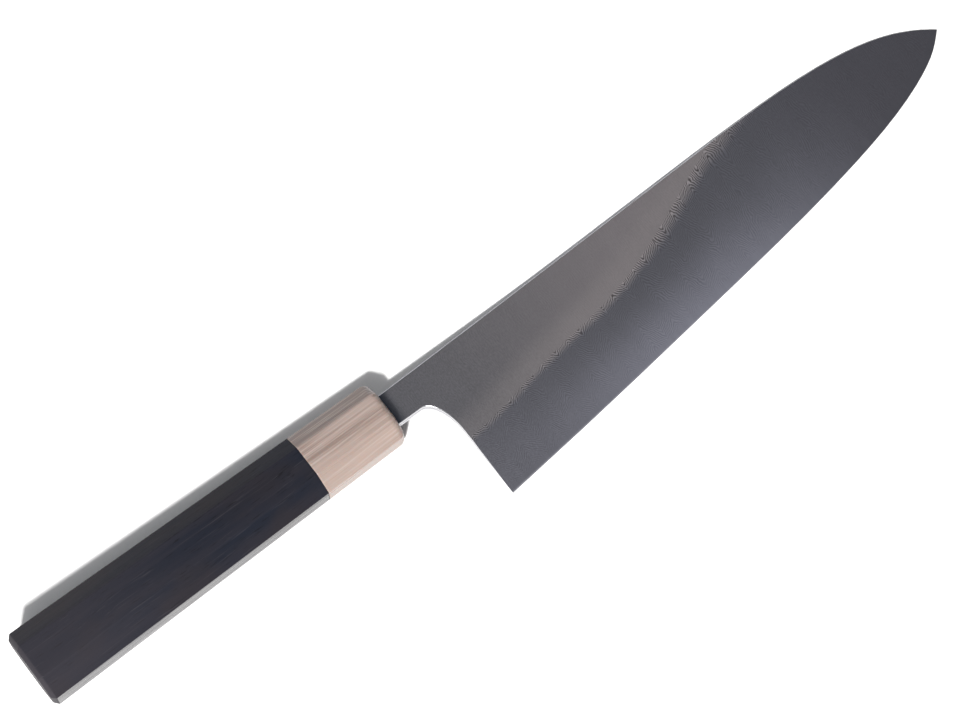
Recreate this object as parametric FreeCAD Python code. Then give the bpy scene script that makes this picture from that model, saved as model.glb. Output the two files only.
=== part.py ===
import FreeCAD, Part
import math
import os

# Kitchen knife: a forge-laminated blade whose tang is bedded in a tapered
# octagonal handle of hardwood with a horn ferrule.
#
# The knife lies on its left side. X runs along the handle towards the tip,
# +Y is the spine side and -Y the cutting edge, and Z goes up through the
# blade's thickness. The pieces are drawn from a working origin in the middle
# of the ferrule's front face; set_down() then moves the origin to the middle
# of the underside of the knife's box. Lengths are in millimetres.

# Blade, seen from its side
heel_from_ferrule = 15.8      # the heel's corner, ahead of the ferrule
blade_reach = 206.4           # from the heel to the tip, along the handle
heel_drop = 46.0              # heel below the handle's middle line
tip_drop = 5.45               # tip below the handle's middle line
spine_rise_neck = 5.4         # spine above the middle line in the ferrule
spine_rise_heel = 5.75        # and above the heel
neck_drop = 6.1               # underside of the neck below the middle line
notch_corner_length = 6.9     # finger notch: its rounded corner along X
notch_corner_depth = 14.6     # and along Y

# Blade, through its thickness
neck_thickness = 4.0
heel_thickness = 4.1          # where the flats begin, just ahead of the ferrule
tip_flat_thickness = 1.32     # the flats' taper carried on to the tip
tang_end_thickness = 2.8
core_thickness_heel = 0.60
core_thickness_tip = 0.20
edge_thickness_heel = 0.24    # just behind the cutting bevel
edge_thickness_tip = 0.12
cutting_half_angle = 15.0     # degrees
corner_rounding = 0.4         # worked on the spine, the neck and the notch
flats_begin = 1.0             # ahead of the ferrule

# Tang, inside the handle
neck_in_ferrule = 4.0         # depth at which the neck steps down to the tang
tang_length = 98.0            # behind the ferrule's front face
tang_height_front = 8.6
tang_height_end = 4.4

# Handle
handle_length = 140.0
ferrule_length = 31.2
butt_height = 26.1
butt_thickness = 21.2
front_height = 21.7
front_thickness = 17.9
butt_chamfer = 6.8            # corner facets, measured across the tall faces
front_chamfer = 5.6
chamfer_slope = 0.92          # of the corner facets, thickness over height
butt_easing = 1.5
ferrule_rounding = 2.6
ferrule_wall = 5.0            # horn left in front of the bore
dowel_diameter = 12.4
dowel_past_tang = 1.0         # wood left behind the tang's slot

# Fits
glue_gap = 0.05               # round the dowel, on its radius
dowel_end_room = 2.0          # bore left empty behind the dowel
mouth_gap = 0.25              # between the neck and the ferrule's slot
bed_thickness = 0.5           # resin round the tang
resin_recess = 0.3            # the resin stops short of the ferrule's face

# Stations along the blade, as shares of its reach from heel to tip.
# edge_shares is the edge's height, from 1 at the heel to 0 at the tip.
# bevel_rises is how far above the edge the bevel meets the plane of the
# flat: where the blade is less deep than that, the bevel runs to the spine.
edge_stations = [0.0, 0.15, 0.30, 0.45, 0.60, 0.76, 0.88, 0.94, 0.98, 1.0]
edge_shares = [1.0, 0.917, 0.825, 0.728, 0.626, 0.4885, 0.336, 0.217, 0.093, 0.0]
bevel_rises = [23.9, 25.7, 26.6, 33.0, 42.4, 47.8, 45.8, 42.8, 39.4, 37.0]
spine_stations = [0.46, 0.67, 0.83, 0.92]
spine_rises = [8.15, 9.0, 7.45, 3.5]

tip_x = heel_from_ferrule + blade_reach
bore_diameter = dowel_diameter + 2 * glue_gap
dowel_back = tang_length + bed_thickness + dowel_past_tang
spare = 4.0                   # the blade's blank is left this much too large
overrun = 8.0                 # cutting shapes reach this far past the work
clear_height = 20.0           # and this far above the middle line
clear_width = 10.0            # and this far out from the middle plane


def vec(x, y, z=0.0):
    return FreeCAD.Vector(x, y, z)


def between(start, end, share):
    return start + (end - start) * share


def lines_through(points):
    return [Part.makeLine(a, b) for a, b in zip(points, points[1:])]


def face_within(edges):
    return Part.Face(Part.Wire(edges))


def face_of(corners):
    return face_within(lines_through(corners + corners[:1]))


def middle_of(edge):
    return edge.valueAt((edge.FirstParameter + edge.LastParameter) / 2)


def mirrored(shape):
    """The same shape on the other side of the blade's middle plane."""
    return shape.mirror(vec(0, 0, 0), vec(0, 0, 1))


def through_thickness(face, half_width):
    """A side view's solid, reaching equally far both sides of the middle plane."""
    solid = face.extrude(vec(0, 0, 2 * half_width))
    solid.translate(vec(0, 0, -half_width))
    return solid


# ---- Blade blank, seen from its side ----

def spine_curve():
    """Top of the neck and the spine, from inside the ferrule to the tip."""
    points = [vec(-neck_in_ferrule, spine_rise_neck), vec(heel_from_ferrule, spine_rise_heel)]
    for share, rise in zip(spine_stations, spine_rises):
        points.append(vec(heel_from_ferrule + blade_reach * share, rise))
    points.append(vec(tip_x, -tip_drop))
    curve = Part.BSplineCurve()
    curve.interpolate(points)
    return curve


def notch_corner():
    """Quarter of an ellipse between the neck's underside and the heel's back."""
    middle = vec(heel_from_ferrule - notch_corner_length, -neck_drop - notch_corner_depth)
    ellipse = Part.Ellipse(middle + vec(0, notch_corner_depth),
                           middle + vec(notch_corner_length, 0), middle)
    return Part.ArcOfEllipse(ellipse, 0, math.radians(90))


def tang_outline():
    """Corner points of the tang, from the neck's top round to its underside."""
    middle = (spine_rise_neck - neck_drop) / 2
    front = tang_height_front / 2
    end = tang_height_end / 2
    return [vec(-neck_in_ferrule, spine_rise_neck),
            vec(-neck_in_ferrule, middle + front),
            vec(-tang_length, middle + end),
            vec(-tang_length, middle - end),
            vec(-neck_in_ferrule, middle - front),
            vec(-neck_in_ferrule, -neck_drop)]


def blank():
    """Blade and tang before grinding, left too large along the cutting edge."""
    spine = spine_curve()
    corner = notch_corner()
    tip = spine.value(spine.LastParameter)
    past_tip = tip + spine.tangent(spine.LastParameter)[0] * spare
    bottom = -heel_drop - spare
    below = [past_tip,
             vec(tip_x + spare, past_tip.y),
             vec(tip_x + spare, bottom),
             vec(heel_from_ferrule, bottom),
             corner.value(corner.LastParameter)]
    behind = [corner.value(corner.FirstParameter)] + tang_outline()[::-1]
    edges = [spine.toShape(), Part.makeLine(tip, past_tip)]
    edges += lines_through(below)
    edges += [corner.toShape()]
    edges += lines_through(behind)
    return through_thickness(face_within(edges), clear_width)


# ---- Blade blank, through its thickness ----

def half_profile(neck, heel, tip, tang_end):
    """Upper line of the blade seen on edge, from the tang's end to the tip."""
    slope = (tip - heel) / (tip_x - flats_begin)
    return [vec(-tang_length - overrun, 0, tang_end / 2),
            vec(-neck_in_ferrule, 0, neck / 2),
            vec(flats_begin, 0, heel / 2),
            vec(tip_x + overrun, 0, (tip + slope * overrun) / 2)]


def outer_line():
    return half_profile(neck_thickness, heel_thickness, tip_flat_thickness, tang_end_thickness)


def core_line():
    return half_profile(core_thickness_heel, core_thickness_heel,
                        core_thickness_tip, core_thickness_heel)


def slab(upper, lower):
    """Material between two lines seen on edge, deeper than the whole blade."""
    solid = face_of(upper + lower[::-1]).extrude(vec(0, heel_drop + overrun + clear_height, 0))
    solid.translate(vec(0, -heel_drop - overrun, 0))
    return solid


# ---- Bevels ----

def edge_points():
    """The cutting edge, with one point past the heel and one past the tip."""
    points = []
    for station, share in zip(edge_stations, edge_shares):
        points.append(vec(heel_from_ferrule + blade_reach * station,
                          -between(tip_drop, heel_drop, share)))
    before = points[0] + (points[0] - points[1]).normalize() * overrun
    after = points[-1] + (points[-1] - points[-2]).normalize() * overrun
    return [before] + points + [after]


def bevel_slopes():
    """Half thickness gained per millimetre above the edge, at each point."""
    slopes = []
    for station, rise in zip(edge_stations, bevel_rises):
        flat = between(heel_thickness, tip_flat_thickness, station)
        behind_edge = between(edge_thickness_heel, edge_thickness_tip, station)
        slopes.append((flat - behind_edge) / 2 / rise)
    return [slopes[0]] + slopes + [slopes[-1]]


def curve_at(points, places):
    curve = Part.BSplineCurve()
    curve.interpolate(Points=points, Parameters=places)
    return curve


def ground_away(starts, slopes):
    """Steel removed above a bevel. Its surface is made of straight lines square
    to X, which rise from each starting point over the edge by that slope."""
    low = []
    high = []
    for start, slope in zip(starts, slopes):
        down = start.y + heel_drop + overrun
        up = clear_height - start.y
        low.append(start - vec(0, down, down * slope))
        high.append(start + vec(0, up, up * slope))
    places = [start.x for start in starts]
    low_curve = curve_at(low, places)
    high_curve = curve_at(high, places)
    poles = [list(pair) for pair in zip(low_curve.getPoles(), high_curve.getPoles())]
    surface = Part.BSplineSurface()
    surface.buildFromPolesMultsKnots(poles, low_curve.getMultiplicities(), [2, 2],
                                     low_curve.getKnots(), [0.0, 1.0], False, False,
                                     low_curve.Degree, 1)
    return surface.toShape().extrude(vec(0, 0, 4 * clear_width))


def wide_bevel():
    """The long bevel, from the flat down to the edge."""
    starts = []
    for point, station in zip(edge_points(), [0.0] + edge_stations + [1.0]):
        behind_edge = between(edge_thickness_heel, edge_thickness_tip, station)
        starts.append(point + vec(0, 0, behind_edge / 2))
    return ground_away(starts, bevel_slopes())


def cutting_bevel():
    """The narrow honed bevel that meets its twin in the cutting edge."""
    slope = math.tan(math.radians(cutting_half_angle))
    starts = edge_points()
    return ground_away(starts, [slope] * len(starts))


# ---- The blade's three layers ----

def core_steel():
    """Hard steel in the middle, full length, bare along the cutting edge."""
    line = core_line()
    shape = blank().common(slab(line, [vec(p.x, 0, -p.z) for p in line]))
    for ground in (wide_bevel(), cutting_bevel()):
        shape = shape.cut(ground).cut(mirrored(ground))
    return shape


def exposed_corners(shape):
    """Outer corners of the spine, the neck and the notch, ahead of the tang."""
    corners = []
    for edge in shape.Edges:
        middle = middle_of(edge)
        runs_lengthwise = abs(edge.Vertexes[0].Point.x - edge.Vertexes[-1].Point.x) > flats_begin / 2
        ahead_of_tang = -neck_in_ferrule < middle.x < tip_x
        above_heel = middle.y > -neck_drop - notch_corner_depth
        if runs_lengthwise and ahead_of_tang and above_heel and middle.z > core_thickness_heel:
            corners.append(edge)
    return corners


def cladding_right():
    """Soft pattern-welded jacket on the side of the blade that faces up."""
    shape = blank().common(slab(outer_line(), core_line()))
    shape = shape.makeFillet(corner_rounding, exposed_corners(shape))
    return shape.cut(wide_bevel()).cut(cutting_bevel())


# ---- Handle ----

def octagon(x):
    """Corners of the handle's section at one place along it."""
    share = (x + handle_length) / handle_length
    half_height = between(butt_height, front_height, share) / 2
    half_thickness = between(butt_thickness, front_thickness, share) / 2
    chamfer = between(butt_chamfer, front_chamfer, share)
    flat_y = half_height - chamfer
    flat_z = half_thickness - chamfer * chamfer_slope
    quarter = [(half_height, flat_z), (flat_y, half_thickness)]
    upper = quarter + [(-y, z) for y, z in quarter[::-1]]
    lower = [(y, -z) for y, z in upper[::-1]]
    return [vec(x, y, z) for y, z in upper + lower]


def octagonal_length(back, front):
    """Solid length of the tapered handle between two places along it."""
    near = octagon(back)
    far = octagon(front)
    faces = [face_of(near), face_of(far)]
    for i in range(len(near)):
        j = (i + 1) % len(near)
        faces.append(face_of([near[i], near[j], far[j], far[i]]))
    return Part.Solid(Part.Shell(faces)).removeSplitter()


def rim(shape, x):
    """Edges round the end face that stands square to the handle at x."""
    edges = []
    for edge in shape.Edges:
        if all(abs(vertex.Point.x - x) < glue_gap for vertex in edge.Vertexes):
            edges.append(edge)
    return edges


def round_bar(back, front, diameter):
    return Part.makeCylinder(diameter / 2, front - back, vec(back, 0), vec(1, 0))


def handle_body():
    """Hardwood octagon, eased round the butt and bored from its front end."""
    shape = octagonal_length(-handle_length, -ferrule_length)
    shape = shape.makeChamfer(butt_easing, rim(shape, -handle_length))
    return shape.cut(round_bar(-dowel_back - dowel_end_room, 0, bore_diameter))


def mouth_slot(front):
    """Space round the neck, from the bore's end forward to a given place."""
    height = spine_rise_neck + neck_drop + 2 * mouth_gap
    width = neck_thickness + 2 * mouth_gap
    return Part.makeBox(ferrule_wall + front, height, width,
                        vec(-ferrule_wall, -neck_drop - mouth_gap, -width / 2))


def ferrule():
    """Horn block that carries the octagon on, bored from behind, with a slot
    through its front wall for the neck."""
    shape = octagonal_length(-ferrule_length, 0)
    shape = shape.makeFillet(ferrule_rounding, rim(shape, 0))
    bore = round_bar(-ferrule_length - overrun, -ferrule_wall, bore_diameter)
    return shape.cut(bore).cut(mouth_slot(overrun))


def tang_slot():
    """Tapered slot through the dowel, one bed's thickness larger than the tang."""
    tang = tang_outline()
    corners = [vec(-ferrule_wall, tang[1].y + bed_thickness),
               tang[2] + vec(-bed_thickness, bed_thickness),
               tang[3] + vec(-bed_thickness, -bed_thickness),
               vec(-ferrule_wall, tang[4].y - bed_thickness)]
    return through_thickness(face_of(corners), neck_thickness / 2 + bed_thickness)


def dowel():
    """Softwood pin that joins ferrule and handle body and takes the tang."""
    return round_bar(-dowel_back, -ferrule_wall, dowel_diameter).cut(tang_slot())


def tang_bed(layers):
    """Set resin that fills both slots round the neck and the tang."""
    shape = mouth_slot(-resin_recess).fuse(tang_slot())
    for layer in layers:
        shape = shape.cut(layer)
    return shape


# ---- The whole knife ----

def build():
    core = core_steel()
    right = cladding_right()
    left = mirrored(right)
    return {"core_steel": core,
            "cladding_right": right,
            "cladding_left": left,
            "ferrule": ferrule(),
            "handle_body": handle_body(),
            "dowel": dowel(),
            "tang_bed": tang_bed([core, right, left])}


def set_down(pieces):
    """Moves the origin to the middle of the underside of the knife's box."""
    box = Part.makeCompound(list(pieces.values())).optimalBoundingBox(False, False)
    shift = vec(-(box.XMin + box.XMax) / 2, -(box.YMin + box.YMax) / 2, -box.ZMin)
    for shape in pieces.values():
        shape.translate(shift)
    return shift


pieces = build()
shift = set_down(pieces)
os.makedirs("parts", exist_ok=True)
for name, shape in pieces.items():
    shape.exportStep("parts/" + name + ".step")
    print(name, len(shape.Solids), "solid,", round(shape.Volume, 1), "mm3, valid:", shape.isValid())
print("working origin is at", [round(c, 4) for c in shift])
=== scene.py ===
import bmesh
import bpy
import math
from mathutils import Euler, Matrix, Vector


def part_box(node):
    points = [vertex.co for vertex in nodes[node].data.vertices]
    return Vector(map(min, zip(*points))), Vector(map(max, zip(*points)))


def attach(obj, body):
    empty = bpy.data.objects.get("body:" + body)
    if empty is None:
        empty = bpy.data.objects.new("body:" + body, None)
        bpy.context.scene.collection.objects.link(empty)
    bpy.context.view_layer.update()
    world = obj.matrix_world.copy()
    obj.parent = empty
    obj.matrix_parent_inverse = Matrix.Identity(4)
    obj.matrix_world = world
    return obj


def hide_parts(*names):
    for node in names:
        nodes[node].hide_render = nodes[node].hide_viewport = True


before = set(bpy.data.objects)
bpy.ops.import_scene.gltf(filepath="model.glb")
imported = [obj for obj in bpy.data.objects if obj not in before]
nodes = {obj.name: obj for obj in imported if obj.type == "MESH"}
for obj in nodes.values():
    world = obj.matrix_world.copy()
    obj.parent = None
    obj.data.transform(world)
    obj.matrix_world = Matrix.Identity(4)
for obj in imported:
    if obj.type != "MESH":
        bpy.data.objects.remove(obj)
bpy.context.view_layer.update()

# ---- Table, lamps and camera -------------------------------------------------
# The knife lies on its left side on a bowed sheet of white card, which carries
# the ferrule's front corner and the blade. A small lamp throws the shadow, and
# wide ones fill it.

MM = 0.001
scene = bpy.context.scene
scene.view_settings.view_transform = "Standard"
handle_low, handle_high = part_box("handle_body")
ferrule_low, ferrule_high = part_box("ferrule")
blade_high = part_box("core_steel")[1]
middle_y = (handle_low.y + handle_high.y) / 2
middle_z = (handle_low.z + handle_high.z) / 2
ferrule_rounding = 2.6 * MM


class Finish:
    """A material under construction: short calls for its nodes and links."""

    def __init__(self, name, tree=None):
        if tree is None:
            self.material = bpy.data.materials.new(name)
            self.material.use_nodes = True
            self.tree = self.material.node_tree
            self.shader = self.tree.nodes["Principled BSDF"]
        else:
            self.tree = tree

    def node(self, kind, inputs=None, **settings):
        made = self.tree.nodes.new("ShaderNode" + kind)
        for key, value in settings.items():
            setattr(made, key, value)
        for key, value in (inputs or {}).items():
            if isinstance(value, bpy.types.NodeSocket):
                self.tree.links.new(value, made.inputs[key])
            else:
                made.inputs[key].default_value = value
        return made

    def maths(self, operation, *values, clamp=False):
        made = self.node("Math", dict(enumerate(values)), operation=operation, use_clamp=clamp)
        return made.outputs["Value"]

    def ramp(self, value, start, end, low=0.0, high=1.0):
        """low below start and high above end, with a smooth change between."""
        made = self.node("MapRange", interpolation_type="SMOOTHSTEP")
        self.tree.links.new(value, made.inputs["Value"])
        for key, number in (("From Min", start), ("From Max", end), ("To Min", low), ("To Max", high)):
            made.inputs[key].default_value = number
        return made.outputs["Result"]

    def mix(self, share, first, second, blend="MIX"):
        made = self.node("Mix", data_type="RGBA", blend_type=blend)
        for key, value in ((0, share), (6, first), (7, second)):
            if isinstance(value, bpy.types.NodeSocket):
                self.tree.links.new(value, made.inputs[key])
            elif key == 0:
                made.inputs[key].default_value = value
            else:
                made.inputs[key].default_value = (*value, 1)
        return made.outputs[2]

    def noise(self, vector, scale, detail=2.0, stretch=None, roughness=0.5):
        """Noise in cells of 1/scale metres, drawn out along axes where stretch is small."""
        if stretch is not None:
            vector = self.node("VectorMath", {0: vector, 1: stretch}, operation="MULTIPLY").outputs[0]
        made = self.node("TexNoise", {"Vector": vector, "Scale": scale, "Detail": detail,
                                      "Roughness": roughness})
        return made.outputs["Fac"]

    def place(self):
        """Position on the knife, in metres in the knife's own frame."""
        return self.node("TexCoord").outputs["Object"]

    def split(self, vector):
        return self.node("SeparateXYZ", {"Vector": vector}).outputs

    def bump(self, height, distance, strength=1.0, normal=None):
        made = self.node("Bump", {"Height": height, "Distance": distance, "Strength": strength})
        if normal is not None:
            self.tree.links.new(normal, made.inputs["Normal"])
        return made.outputs["Normal"]

    def group(self, tree, **inputs):
        made = self.node("Group", node_tree=tree)
        for key, value in inputs.items():
            self.tree.links.new(value, made.inputs[key])
        return made

    def feed(self, **sockets):
        for key, value in sockets.items():
            name = key.replace("_", " ")
            if isinstance(value, bpy.types.NodeSocket):
                self.tree.links.new(value, self.shader.inputs[name])
            else:
                self.shader.inputs[name].default_value = value
        return self.material


def mesh_piece(name, bm, finish):
    """Turns mesh work into a smooth-shaded object that wears one finish."""
    bmesh.ops.recalc_face_normals(bm, faces=bm.faces)
    mesh = bpy.data.meshes.new(name)
    bm.to_mesh(mesh)
    bm.free()
    piece = bpy.data.objects.new(name, mesh)
    scene.collection.objects.link(piece)
    mesh.materials.append(finish)
    mesh.shade_smooth()
    return piece


def card_finish():
    card = Finish("white_card")
    fibre = card.noise(card.place(), 900)
    tone = card.mix(fibre, (0.86, 0.86, 0.87), (0.90, 0.90, 0.90))
    card.feed(Roughness=1.0, Specular_IOR_Level=0.0)
    return card.feed(Base_Color=tone)


def share_steps(start, end, count):
    return [start + (end - start) * i / count for i in range(count + 1)]


corner_x = ferrule_high.x - ferrule_rounding
corner_z = ferrule_low.z + 0.31 * MM
blade_x = ferrule_high.x + 74 * MM
blade_z = middle_z - 1.95 * MM
tip_z = middle_z - 0.30 * MM
behind = 0.057    # slope of the card under the handle


def card_height(x):
    """Height of the bowed card under each place along the knife: it rises from
    the handle to the ferrule's corner, then up to the blade, and lies along it."""
    under_blade = (tip_z - blade_z) / (blade_high.x - blade_x)
    if x <= corner_x:
        return corner_z + behind * (x - corner_x)
    if x >= blade_x:
        return blade_z + under_blade * (x - blade_x)
    run = blade_x - corner_x
    t = (x - corner_x) / run
    rise = (3 - 2 * t) * t * t
    bend = behind * run * t * (1 - t) ** 2 - under_blade * run * t * t * (1 - t)
    return corner_z + (blade_z - corner_z) * rise + bend


def white_card():
    """A bowed sheet, finely divided only where it bends under the knife."""
    reach = 3.0
    bend = share_steps(-0.06, 0.06, 48)
    lengthwise = [-reach, -1.0, -0.4] + bend + [0.4, 1.0, reach]
    crosswise = [-reach, -0.5, 0.0, 0.5, reach]
    bm = bmesh.new()
    rows = [[bm.verts.new((x, y, card_height(x))) for x in lengthwise] for y in crosswise]
    for low, high in zip(rows, rows[1:]):
        for i in range(len(low) - 1):
            bm.faces.new((low[i], low[i + 1], high[i + 1], high[i]))
    return mesh_piece("white_card", bm, card_finish())


white_card()


def softbox(name, place, width, depth, power, tint):
    """A rectangular lamp aimed at the knife's middle."""
    light = bpy.data.lights.new(name, "AREA")
    light.shape = "RECTANGLE"
    light.size = width
    light.size_y = depth
    light.energy = power
    light.color = tint
    holder = bpy.data.objects.new(name, light)
    holder.location = place
    holder.rotation_euler = (-Vector(place)).to_track_quat("-Z", "Y").to_euler()
    scene.collection.objects.link(holder)


softbox("key_softbox", (-1.02, -0.87, 1.80), 0.17, 0.17, 80, (1.0, 0.985, 0.965))
softbox("wide_softbox", (-1.00, -0.85, 1.70), 0.80, 0.80, 11, (1.0, 0.99, 0.98))
softbox("far_softbox", (0.10, 1.45, 1.60), 1.4, 1.0, 6.5, (0.95, 0.97, 1.0))

world = bpy.data.worlds.new("studio")
world.use_nodes = True
world.node_tree.nodes["Background"].inputs["Color"].default_value = (0.97, 0.985, 1.0, 1)
world.node_tree.nodes["Background"].inputs["Strength"].default_value = 0.19
scene.world = world

camera_data = bpy.data.cameras.new("camera")
camera_data.lens = 152.6
camera_data.sensor_width = 36
camera = bpy.data.objects.new("camera", camera_data)
camera.location = (-0.22227, -0.30128, 1.26213)
camera.rotation_euler = Euler([math.radians(turn) for turn in (16.8806, 0.8292, -37.2267)])
scene.collection.objects.link(camera)
scene.camera = camera


# ---- Cladding, left and right --------------------------------------------------
# Soft steel of many folded layers, forge-welded to the core. A ladder of
# grooves was pressed into it and ground level, so the layers come to the
# surface as nested chevrons in rows; etching darkens every other layer.

ladder_pitch = 10.7 * MM
ladder_depth = 0.30 * MM
layer_pitch = 0.072 * MM
row_wander = 3.0 * MM
turn_sharpness = 0.975
fold_depth = 0.25 * MM
shoulder_easing = 0.12 * MM
layer_relief = 0.0022 * MM
neck_x = ferrule_high.x + 1.0 * MM
flat_at_ferrule = 2.05 * MM     # half of the thickness there
flat_at_tip = 0.66 * MM
flat_fall = (flat_at_ferrule - flat_at_tip) / (blade_high.x - neck_x)
# Where the bevel's shoulder runs: share of the blade from neck to tip, and share
# of its rise above its lowest level, at the heel.
shoulder_low = middle_y - 24 * MM
shoulder_rise = 40 * MM
shoulder_line = [(0.0, 0.02), (0.067, 0.047), (0.207, 0.177), (0.347, 0.292),
                 (0.487, 0.55), (0.60, 0.80), (1.0, 1.0)]


def grinding_group():
    """Fine scratches square to the edge, as a mask that several steels use."""
    group = bpy.data.node_groups.new("grinding_marks", "ShaderNodeTree")
    group.interface.new_socket(name="Place", in_out="INPUT", socket_type="NodeSocketVector")
    group.interface.new_socket(name="Marks", in_out="OUTPUT", socket_type="NodeSocketFloat")
    way_in = group.nodes.new("NodeGroupInput")
    way_out = group.nodes.new("NodeGroupOutput")
    work = Finish("", group)
    fine = work.noise(way_in.outputs["Place"], 2600, 2.0, (1.0, 0.05, 0.05))
    broad = work.noise(way_in.outputs["Place"], 420, 3.0, (1.0, 0.12, 0.12))
    both = work.maths("MULTIPLY_ADD", fine, 0.6, work.maths("MULTIPLY", broad, 0.4))
    group.links.new(both, way_out.inputs["Marks"])
    return group


grinding_marks = grinding_group()


def grinding(finish, place):
    return finish.group(grinding_marks, Place=place).outputs["Marks"]


def bevel_group():
    """Colour of the ground bevel: blue-black under the shoulder, paler low down
    at mid-blade, partly etch worn by honing and partly painted reflection.
    Also how far below the flat's plane the steel is ground."""
    group = bpy.data.node_groups.new("ground_bevel", "ShaderNodeTree")
    group.interface.new_socket(name="Place", in_out="INPUT", socket_type="NodeSocketVector")
    group.interface.new_socket(name="Tone", in_out="OUTPUT", socket_type="NodeSocketColor")
    group.interface.new_socket(name="Ground", in_out="OUTPUT", socket_type="NodeSocketFloat")
    group.interface.new_socket(name="Along", in_out="OUTPUT", socket_type="NodeSocketFloat")
    way_in = group.nodes.new("NodeGroupInput")
    way_out = group.nodes.new("NodeGroupOutput")
    steel = Finish("", group)
    m = steel.maths
    place = steel.split(way_in.outputs["Place"])
    half = m("ABSOLUTE", m("SUBTRACT", place["Z"], middle_z))
    ahead = m("SUBTRACT", place["X"], neck_x)
    ground = m("SUBTRACT", m("SUBTRACT", flat_at_ferrule, m("MULTIPLY", ahead, flat_fall)), half)
    along = m("DIVIDE", ahead, blade_high.x - neck_x)
    low_on_bevel = steel.ramp(ground, 0.25 * MM, 1.45 * MM)
    heel_blue = (0.176, 0.177, 0.204)
    tip_blue = (0.152, 0.150, 0.175)
    etch_and_reflection_lilac = (0.372, 0.374, 0.448)
    past_heel = steel.ramp(along, 0.05, 0.52, 0.06, 1.0)
    before_tip = steel.ramp(along, 0.56, 0.90, 1.0, 0.0)
    tone = steel.mix(steel.ramp(along, 0.60, 0.88), heel_blue, tip_blue)
    # Paler lilac low on the bevel at mid-blade: partly worn etch, partly painted reflection.
    tone = steel.mix(m("MULTIPLY", low_on_bevel, m("MULTIPLY", past_heel, before_tip)), tone, etch_and_reflection_lilac)
    group.links.new(tone, way_out.inputs["Tone"])
    group.links.new(ground, way_out.inputs["Ground"])
    group.links.new(along, way_out.inputs["Along"])
    return group


ground_bevel = bevel_group()


def shaded(finish, tone, share):
    """A tone made lighter or darker by a share of itself."""
    light = finish.maths("ADD", share, 1.0)
    grey = finish.node("CombineColor", {"Red": light, "Green": light, "Blue": light}).outputs["Color"]
    return finish.mix(1.0, tone, grey, "MULTIPLY")


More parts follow.
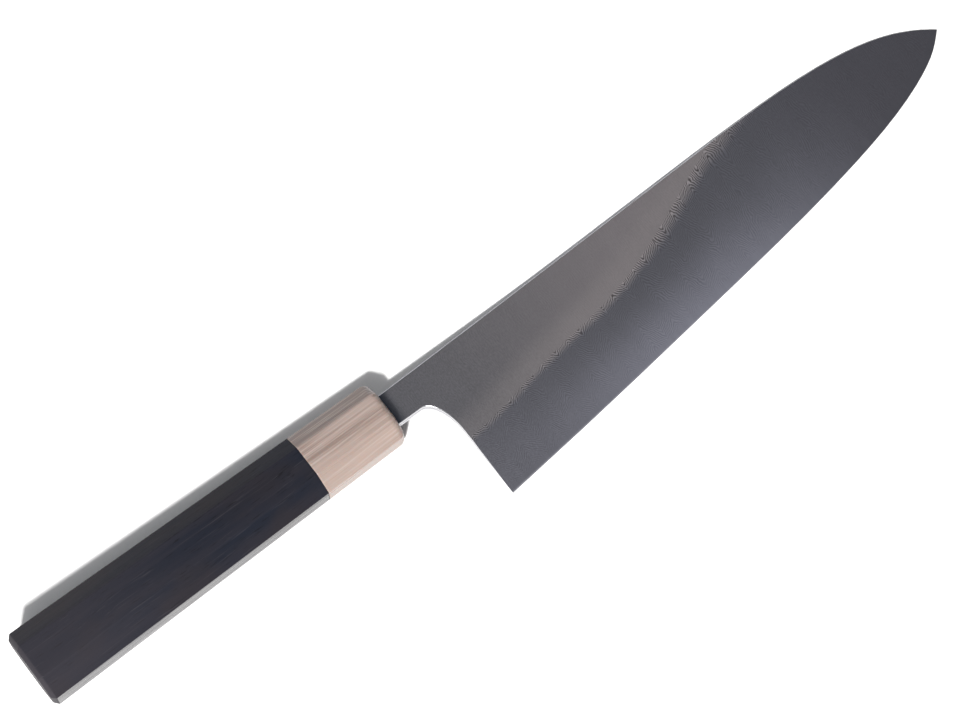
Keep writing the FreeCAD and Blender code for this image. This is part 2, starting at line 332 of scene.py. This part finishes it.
def layered_steel():
    steel = Finish("pattern_welded_steel")
    place = steel.place()
    x, y, z = steel.split(place)
    m = steel.maths
    bevel = steel.group(ground_bevel, Place=place).outputs
    ground, along = bevel["Ground"], bevel["Along"]
    on_bevel = steel.ramp(ground, 0.0, 0.20 * MM)
    shoulder = m("MULTIPLY", steel.ramp(ground, 0.003 * MM, 0.04 * MM),
                 steel.ramp(ground, 0.06 * MM, 0.24 * MM, 1.0, 0.0))

    # The ladder, its rows wandering a little as they were pressed by hand. Taking
    # the sine just short of one leaves a small curve where a groove turns.
    half = m("ABSOLUTE", m("SUBTRACT", z, middle_z))
    wander = m("SUBTRACT", steel.noise(place, 95, 2.0), 0.5)
    row = m("MULTIPLY_ADD", wander, row_wander, x)
    swing = m("MULTIPLY", m("SINE", m("MULTIPLY", row, 2 * math.pi / ladder_pitch)), turn_sharpness)
    ladder = m("MULTIPLY", m("ARCSINE", swing), ladder_depth / (math.pi / 2))
    folds = m("MULTIPLY", m("SUBTRACT", steel.noise(place, 250, 3.0), 0.5), fold_depth)
    level = m("ADD", m("ADD", half, ladder), folds)
    wave = m("SINE", m("MULTIPLY", level, 2 * math.pi / layer_pitch))

    # Contrast of the layers: strong on the rounded shoulder, faint on the flats
    # and towards the tip, and softer where a groove turns.
    patchy = steel.ramp(steel.noise(place, 160, 2.0), 0.36, 0.64, 0.32, 1.0)
    contrast = m("MULTIPLY", patchy, m("MULTIPLY_ADD", on_bevel, 0.13, 0.05))
    contrast = m("MULTIPLY", contrast, steel.ramp(along, 0.50, 0.90, 1.0, 0.42))
    turning = steel.ramp(m("ABSOLUTE", swing), 0.88, turn_sharpness, 1.0, 0.6)
    contrast = m("MULTIPLY", contrast, turning)
    contrast = m("MULTIPLY_ADD", shoulder, 0.60, contrast)
    marks = m("SUBTRACT", grinding(steel, place), 0.5)
    grain = m("SUBTRACT", steel.noise(place, 2300, 2.0, (1.0, 0.6, 1.0)), 0.5)
    speckle = m("MULTIPLY", grain, steel.ramp(along, 0.02, 0.30, 0.55, 0.24))
    share = m("MULTIPLY_ADD", marks, 0.07, m("MULTIPLY_ADD", wave, contrast, speckle))

    # Warm grey flats, darker towards the neck and palest just above the shoulder as painted reflection,
    # with painted shade of the ferrule on the neck.
    line = steel.node("FloatCurve", {"Value": along})
    curve = line.mapping.curves[0]
    for share_along, rise in shoulder_line[1:-1]:
        curve.points.new(share_along, rise)
    curve.points[0].location = shoulder_line[0]
    curve.points[-1].location = shoulder_line[-1]
    line.mapping.update()
    neck_grey = (0.234, 0.231, 0.252)
    middle_grey = (0.424, 0.387, 0.403)
    fringe_grey = (0.500, 0.456, 0.464)
    mottle_grey = (0.262, 0.250, 0.262)
    painted_shade_blue = (0.030, 0.040, 0.062)
    shoulder_y = m("MULTIPLY_ADD", line.outputs["Value"], shoulder_rise, shoulder_low)
    above = m("SUBTRACT", y, shoulder_y)
    # Painted reflection: the flats darker towards the neck and paler towards the middle.
    flat_tone = steel.mix(steel.ramp(along, 0.0, 0.50), neck_grey, middle_grey)
    # Painted reflection: the flats paler just above the shoulder.
    near_shoulder = steel.ramp(above, 0.0, 9.5 * MM, 1.0, 0.0)
    fringe = m("MULTIPLY", near_shoulder, steel.ramp(along, 0.02, 0.35, 0.30, 0.65))
    flat_tone = steel.mix(fringe, flat_tone, fringe_grey)
    mottle = steel.ramp(steel.noise(place, 45, 4.0, (0.6, 1.0, 1.0)), 0.3, 0.7)
    flat_tone = steel.mix(m("MULTIPLY", mottle, 0.12), flat_tone, mottle_grey)
    # Painted shade: the neck darkened next to the ferrule's front, as if shaded by it.
    ferrule_shade = steel.ramp(x, ferrule_high.x, neck_x + 4.2 * MM, 0.88, 0.0)
    flat_tone = steel.mix(ferrule_shade, flat_tone, painted_shade_blue)
    tone = steel.mix(on_bevel, flat_tone, bevel["Tone"])

    # Spine, neck and finger notch are rounded over and polished bright; their pale tone is partly the
    # polish and partly a painted highlight.
    polish_and_highlight_white = (0.46, 0.46, 0.485)
    upright = m("ABSOLUTE", steel.split(steel.node("NewGeometry").outputs["Normal"])["Z"])
    polish_and_highlight = steel.ramp(upright, 0.90, 0.985, 1.0, 0.0)
    tone = steel.mix(polish_and_highlight, tone, polish_and_highlight_white)
    share = m("MULTIPLY", share, m("SUBTRACT", 1.0, polish_and_highlight))
    rough = m("MULTIPLY_ADD", marks, 0.05, m("MULTIPLY_ADD", on_bevel, 0.05, 0.36))
    rough = m("MULTIPLY_ADD", polish_and_highlight, -0.16, rough)

    # The shoulder between flat and bevel isn't crisp, but rounded over.
    relief = m("MULTIPLY_ADD", wave, 0.4, m("MULTIPLY_ADD", marks, 0.25, m("MULTIPLY", grain, 0.3)))
    easing = m("SUBTRACT", 1.0, m("EXPONENT", m("DIVIDE", m("MAXIMUM", ground, 0.0), -shoulder_easing)))
    rounded = steel.bump(m("MULTIPLY", easing, shoulder_easing), 1.0)
    steel.feed(Metallic=1.0)
    return steel.feed(Base_Color=shaded(steel, tone, share), Roughness=rough,
                      Normal=steel.bump(relief, layer_relief, 1.0, rounded))


cladding_finish = layered_steel()
for name in ("cladding_right", "cladding_left"):
    nodes[name].data.materials.clear()
    nodes[name].data.materials.append(cladding_finish)


# ---- Core ------------------------------------------------------------------------
# One bar of hard steel through the middle of the blade and its tang. It is bare
# only in a narrow strip along the edge, honed to a keener bevel at its foot.

edge_at_heel = 0.12 * MM     # half of the thickness behind the honed bevel
edge_at_tip = 0.06 * MM
grinding_relief = 0.001 * MM


def core_finish():
    """The ground bevel's own tone, and a bright honed strip at its foot."""
    steel = Finish("core_steel")
    place = steel.place()
    m = steel.maths
    honed_white = (0.42, 0.43, 0.47)
    marks = m("SUBTRACT", grinding(steel, place), 0.5)
    half = m("ABSOLUTE", m("SUBTRACT", steel.split(place)["Z"], middle_z))
    bevel = steel.group(ground_bevel, Place=place).outputs
    behind_edge = m("MULTIPLY_ADD", bevel["Along"], edge_at_tip - edge_at_heel, edge_at_heel)
    honed = steel.ramp(m("SUBTRACT", half, behind_edge), -0.025 * MM, 0.0, 0.4, 0.0)
    tone = steel.mix(honed, bevel["Tone"], honed_white)
    tone = shaded(steel, tone, m("MULTIPLY", marks, 0.20))
    rough = m("MULTIPLY_ADD", marks, 0.05, 0.41)
    ground_flat = steel.node("NewGeometry").outputs["True Normal"]
    steel.feed(Metallic=1.0)
    return steel.feed(Base_Color=tone, Roughness=rough,
                      Normal=steel.bump(marks, grinding_relief, 1.0, ground_flat))


nodes["core_steel"].data.materials.clear()
nodes["core_steel"].data.materials.append(core_finish())


# ---- Handle body -----------------------------------------------------------------
# A tapered octagon of close-grained black hardwood, sanded and waxed, its butt
# rim chamfered and its ridges just taken off. It is bored for the dowel.

taper_length = ferrule_high.x - handle_low.x
butt_easing = 1.5 * MM
butt_chamfer = 6.8 * MM
front_chamfer = 5.6 * MM
chamfer_slope = 0.92
ridge_radius = 0.45 * MM
ridge_steps = 3
flat_steps = 4
joint_easing = 0.06 * MM
face_rim = 1.0 * MM
lid_insets = (7.0 * MM, 4.5 * MM)
bore_radius = 6.25 * MM
bore_end_room = 2.0 * MM    # bore left behind the dowel's end


def taper(x):
    """Half height and half thickness of the octagon at a place along it."""
    back_x, front_x = handle_low.x + butt_easing, ferrule_low.x
    share = (x - back_x) / (front_x - back_x)
    back = ((handle_high.y - handle_low.y) / 2, (handle_high.z - handle_low.z) / 2)
    front = ((ferrule_high.y - ferrule_low.y) / 2, (ferrule_high.z - ferrule_low.z) / 2)
    return [b + (f - b) * share for b, f in zip(back, front)]


def octagon_ring(x, inset=0.0):
    """Points round the octagon at x, each ridge eased by a small curve. With
    inset, every facet is moved in by that much."""
    half_height, half_thickness = taper(x)
    chamfer = front_chamfer + (butt_chamfer - front_chamfer) * (ferrule_high.x - x) / taper_length
    flat_y = half_height - chamfer
    flat_z = half_thickness - chamfer * chamfer_slope
    corners = [(half_height, flat_z), (flat_y, half_thickness)]
    corners += [(-b, c) for b, c in corners[::-1]]
    corners += [(b, -c) for b, c in corners[::-1]]
    corners = [Vector(corner) for corner in corners]
    lines = []
    for a, b in zip(corners, corners[1:] + corners[:1]):
        run = (b - a).normalized()
        out = Vector((run.y, -run.x))
        if out.dot(a) < 0:
            out = -out
        lines.append((out, out.dot(a) - inset))
    ridges = []
    for (m, p), (n, q) in zip(lines[-1:] + lines[:-1], lines):
        spread = m.x * n.y - m.y * n.x
        ridges.append((Vector(((p * n.y - q * m.y) / spread, (q * m.x - p * n.x) / spread)), m, n))
    points = []
    for i, (ridge, m, n) in enumerate(ridges):
        turn = m.angle(n)
        heart = ridge - (m + n).normalized() * (ridge_radius / math.cos(turn / 2))
        for step in range(ridge_steps + 1):
            share = step / ridge_steps
            way = (m * math.sin((1 - share) * turn) + n * math.sin(share * turn)) / math.sin(turn)
            points.append(heart + way * ridge_radius)
        following, m2, n2 = ridges[(i + 1) % len(ridges)]
        next_heart = following - (m2 + n2).normalized() * (ridge_radius / math.cos(m2.angle(n2) / 2))
        far = next_heart + m2 * ridge_radius
        near = points[-1]
        for step in range(1, flat_steps):
            points.append(near.lerp(far, step / flat_steps))
    return [Vector((x, middle_y + p.x, middle_z + p.y)) for p in points]


def circle_like(ring, x, radius):
    """A circle at x with a point opposite each point of an octagon's ring."""
    points = []
    for point in ring:
        way = Vector((0, point.y - middle_y, point.z - middle_z)).normalized()
        points.append(Vector((x, middle_y, middle_z)) + way * radius)
    return points


def skin(bm, rings, close_start=False, close_end=False):
    """Walls between each ring and the next, with a lid on an end that asks."""
    loops = [[bm.verts.new(point) for point in ring] for ring in rings]
    for low, high in zip(loops, loops[1:]):
        for i in range(len(low)):
            j = (i + 1) % len(low)
            bm.faces.new((low[i], low[j], high[j], high[i]))
    for wanted, end in ((close_start, 0), (close_end, -1)):
        if not wanted:
            continue
        loop = loops[end]
        heart = bm.verts.new((rings[end][0].x, middle_y, middle_z))
        for i in range(len(loop)):
            bm.faces.new((loop[i], loop[(i + 1) % len(loop)], heart))
    return loops


def handle_mesh():
    """Rings from the butt's lid over the rim, along to the front and down the bore."""
    back, front = handle_low.x, ferrule_low.x
    soft = 0.25 * MM
    rings = [octagon_ring(back, inset) for inset in lid_insets]
    rings += [octagon_ring(back, butt_easing + soft),
              octagon_ring(back + soft * 0.25, butt_easing),
              octagon_ring(back + butt_easing - soft * 0.7, soft * 0.5),
              octagon_ring(back + butt_easing + soft * 0.6, 0.0)]
    rings += [octagon_ring(back + butt_easing + 2 * soft)]
    rings += [octagon_ring(x) for x in share_steps(back + 3 * MM, front - 3 * soft, 40)]
    rings += [octagon_ring(front - joint_easing)]
    rings += [octagon_ring(front, joint_easing)]
    face = octagon_ring(front, face_rim)
    bore_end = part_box("dowel")[0].x - bore_end_room
    rings += [face, circle_like(face, front, bore_radius)]
    rings += [circle_like(face, x, bore_radius) for x in share_steps(front - 2 * MM, bore_end, 8)]
    bm = bmesh.new()
    skin(bm, rings, close_start=True, close_end=True)
    return bm


def ebony():
    """Blue-black bands with brown clouds, fine pale rays and open pores. Its
    narrow side facets are burnished. Faces towards the ends are paler, partly
    end grain and partly painted light, and the wood is paler towards the butt."""
    wood = Finish("black_hardwood")
    place = wood.place()
    x, y, z = wood.split(place)
    m = wood.maths
    sway = m("MULTIPLY", m("SUBTRACT", wood.noise(place, 22, 1.0), 0.5), 2.2 * MM)
    bent = wood.node("CombineXYZ", {"X": x, "Y": m("ADD", y, sway), "Z": m("ADD", z, sway)}).outputs[0]
    rays = wood.noise(bent, 2100, 3.0, (0.018, 1.0, 1.0), 0.6)
    pores = wood.noise(bent, 2600, 2.0, (0.06, 1.0, 1.0))
    bands = wood.noise(bent, 260, 2.0, (0.03, 1.0, 1.0))
    cloud = wood.noise(place, 60, 3.0, (0.5, 1.0, 1.0))
    band_black, band_blue = (0.0102, 0.0120, 0.0188), (0.0150, 0.0154, 0.0218)
    cloud_brown = (0.0215, 0.0170, 0.0175)
    ray_grey = (0.040, 0.037, 0.043)
    pore_black = (0.004, 0.004, 0.005)
    end_grain_painted_light_grey = (0.034, 0.032, 0.038)
    butt_grey = (0.040, 0.036, 0.042)
    tone = wood.mix(wood.ramp(bands, 0.38, 0.66), band_black, band_blue)
    tone = wood.mix(wood.ramp(cloud, 0.46, 0.66, 0.0, 0.38), tone, cloud_brown)
    tone = wood.mix(wood.ramp(rays, 0.60, 0.72, 0.0, 0.55), tone, ray_grey)
    tone = wood.mix(wood.ramp(pores, 0.60, 0.74, 0.0, 0.7), tone, pore_black)
    rough = m("MULTIPLY_ADD", rays, 0.16, m("MULTIPLY_ADD", pores, 0.10, 0.33))
    grain = m("MULTIPLY_ADD", pores, -0.7, m("MULTIPLY", rays, 0.4))
    facing = wood.split(wood.node("NewGeometry").outputs["Normal"])
    burnished = wood.ramp(m("ABSOLUTE", facing["Y"]), 0.93, 0.985)
    # Faces towards the ends, the butt's chamfer among them, are paler: partly end grain, partly painted
    # light that lifts the chamfer's shade.
    end_grain_and_painted_light = wood.ramp(m("ABSOLUTE", facing["X"]), 0.20, 0.65)
    tone = wood.mix(m("MULTIPLY", end_grain_and_painted_light, 0.8), tone, end_grain_painted_light_grey)
    # The wood is paler towards the butt.
    paler_towards_butt = wood.ramp(x, handle_low.x, ferrule_low.x - 30 * MM, 0.42, 0.0)
    tone = wood.mix(paler_towards_butt, tone, butt_grey)
    shine = m("MULTIPLY", burnished, wood.ramp(rays, 0.38, 0.62, 0.65, 1.0))
    wood.feed(Specular_IOR_Level=0.06, Coat_Roughness=0.22, Coat_Weight=shine)
    return wood.feed(Base_Color=tone, Roughness=rough, Normal=wood.bump(grain, 0.03 * MM))


handle = mesh_piece("octagon_handle", handle_mesh(), ebony())
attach(handle, "root")
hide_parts("handle_body")


# ---- Ferrule ---------------------------------------------------------------------
# A block of blond horn that carries the octagon on, its front rim rounded and
# polished. The neck comes out of a slot in its front wall.

ferrule_wall = 5.0 * MM
mouth_gap = 0.25 * MM
rim_steps = 8
front_face_rim = 1.2 * MM


def slot_like(ring, x):
    """The neck's slot at x, with a point for each point of an octagon's ring."""
    bed_low, bed_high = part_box("tang_bed")
    half_width = (bed_high.z - bed_low.z) / 2 - mouth_gap
    top = bed_high.y - middle_y
    bottom = middle_y - bed_low.y
    points = []
    for point in ring:
        way = Vector((point.y - middle_y, point.z - middle_z)).normalized()
        height = top if way.x > 0 else bottom
        reach = min(height / max(abs(way.x), 1e-6), half_width / max(abs(way.y), 1e-6))
        points.append(Vector((x, middle_y + way.x * reach, middle_z + way.y * reach)))
    corners = [Vector((x, middle_y + a, middle_z + b))
               for a in (top, -bottom) for b in (half_width, -half_width)]
    for corner in corners:
        nearest = min(range(len(points)), key=lambda i: (points[i] - corner).length)
        points[nearest] = corner
    return points


def ferrule_mesh():
    """Rings from the slot back through the bore, then over the outside to the rim."""
    back, front = ferrule_low.x, ferrule_high.x
    face = octagon_ring(back, face_rim)
    wall_x = front - ferrule_wall
    rings = [slot_like(octagon_ring(front), front), slot_like(octagon_ring(front), wall_x)]
    rings += [circle_like(face, wall_x, bore_radius)]
    rings += [circle_like(face, x, bore_radius) for x in share_steps(wall_x - 2 * MM, back, 5)]
    rings += [face, octagon_ring(back, joint_easing)]
    rings += [octagon_ring(back + joint_easing)]
    rings += [octagon_ring(x) for x in share_steps(back + 0.6 * MM, front - ferrule_rounding, 16)]
    for step in range(1, rim_steps + 1):
        turn = math.pi / 2 * step / rim_steps
        rings.append(octagon_ring(front - ferrule_rounding * (1 - math.sin(turn)),
                                  ferrule_rounding * (1 - math.cos(turn))))
    rings += [octagon_ring(front, ferrule_rounding + front_face_rim)]
    bm = bmesh.new()
    loops = skin(bm, rings)
    first, last = loops[0], loops[-1]
    for i in range(len(first)):
        j = (i + 1) % len(first)
        bm.faces.new((last[i], last[j], first[j], first[i]))
    return bm


def blond_horn():
    """Pale, slightly translucent horn, streaked brown along the handle, with more
    streaks on the spine's side than on the edge's. The edge's side is painted
    lighter and pinker as painted light, the spine's side darker as painted shade."""
    horn = Finish("blond_horn")
    place = horn.place()
    x, y, z = horn.split(place)
    m = horn.maths
    sway = m("MULTIPLY", m("SUBTRACT", horn.noise(place, 30, 1.0), 0.5), 1.3 * MM)
    bent = horn.node("CombineXYZ", {"X": x, "Y": m("ADD", y, sway), "Z": m("ADD", z, sway)}).outputs[0]
    fibres = horn.noise(bent, 1300, 3.0, (0.016, 1.0, 1.0), 0.6)
    streaks = horn.noise(bent, 320, 4.0, (0.025, 1.0, 1.0), 0.62)
    veil = horn.noise(place, 90, 2.0, (0.35, 1.0, 1.0))
    lit_edge_side = horn.ramp(y, middle_y - 8 * MM, middle_y + 5 * MM, 1.0, 0.0)
    veil_dark, veil_light = (0.245, 0.192, 0.172), (0.305, 0.245, 0.222)
    painted_light_pink = (0.318, 0.247, 0.217)
    painted_shade_brown = (0.125, 0.093, 0.084)
    streak_brown = (0.130, 0.088, 0.072)
    fibre_cream = (0.43, 0.375, 0.345)
    tone = horn.mix(veil, veil_dark, veil_light)
    # Painted light: the edge's side, which faces the lamp, made lighter and pinker.
    tone = horn.mix(m("MULTIPLY", lit_edge_side, 0.75), tone, painted_light_pink)
    # Painted shade: the spine's side, which faces away from the lamp, made darker.
    shaded_spine_side = horn.ramp(y, middle_y + 4.5 * MM, middle_y + 7.0 * MM, 0.0, 0.85)
    tone = horn.mix(shaded_spine_side, tone, painted_shade_brown)
    dark = m("MULTIPLY", horn.ramp(streaks, 0.47, 0.66), m("MULTIPLY_ADD", lit_edge_side, -0.75, 0.85))
    tone = horn.mix(dark, tone, streak_brown)
    tone = horn.mix(horn.ramp(fibres, 0.48, 0.70, 0.0, 0.40), tone, fibre_cream)
    rough = m("MULTIPLY_ADD", fibres, 0.14, 0.22)
    horn.feed(Subsurface_Weight=0.18, Subsurface_Scale=0.0015, Specular_IOR_Level=0.35)
    return horn.feed(Base_Color=tone, Roughness=rough, Normal=horn.bump(fibres, 0.012 * MM))


ferrule = mesh_piece("horn_ferrule", ferrule_mesh(), blond_horn())
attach(ferrule, "root")
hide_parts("ferrule")


# ---- Dowel and tang bed ------------------------------------------------------------
# A turned softwood pin glued into both bores, and the dark resin run in round
# the tang and the neck. Only the resin shows, as a thin line at the slot.

def softwood():
    wood = Finish("softwood")
    place = wood.place()
    rings = wood.noise(place, 420, 3.0, (0.06, 1.0, 1.0))
    early_wood, late_wood = (0.62, 0.46, 0.28), (0.44, 0.29, 0.15)
    tone = wood.mix(wood.ramp(rings, 0.35, 0.65), early_wood, late_wood)
    return wood.feed(Base_Color=tone, Roughness=wood.maths("MULTIPLY_ADD", rings, 0.2, 0.55),
                     Normal=wood.bump(rings, 0.04 * MM))


def set_resin():
    resin = Finish("set_resin")
    lumps = resin.noise(resin.place(), 500, 3.0)
    dark_amber, light_amber = (0.05, 0.035, 0.025), (0.11, 0.08, 0.05)
    tone = resin.mix(lumps, dark_amber, light_amber)
    return resin.feed(Base_Color=tone, Roughness=resin.maths("MULTIPLY_ADD", lumps, 0.2, 0.25),
                      Normal=resin.bump(lumps, 0.05 * MM))


for name, finish in (("dowel", softwood()), ("tang_bed", set_resin())):
    nodes[name].data.materials.clear()
    nodes[name].data.materials.append(finish)
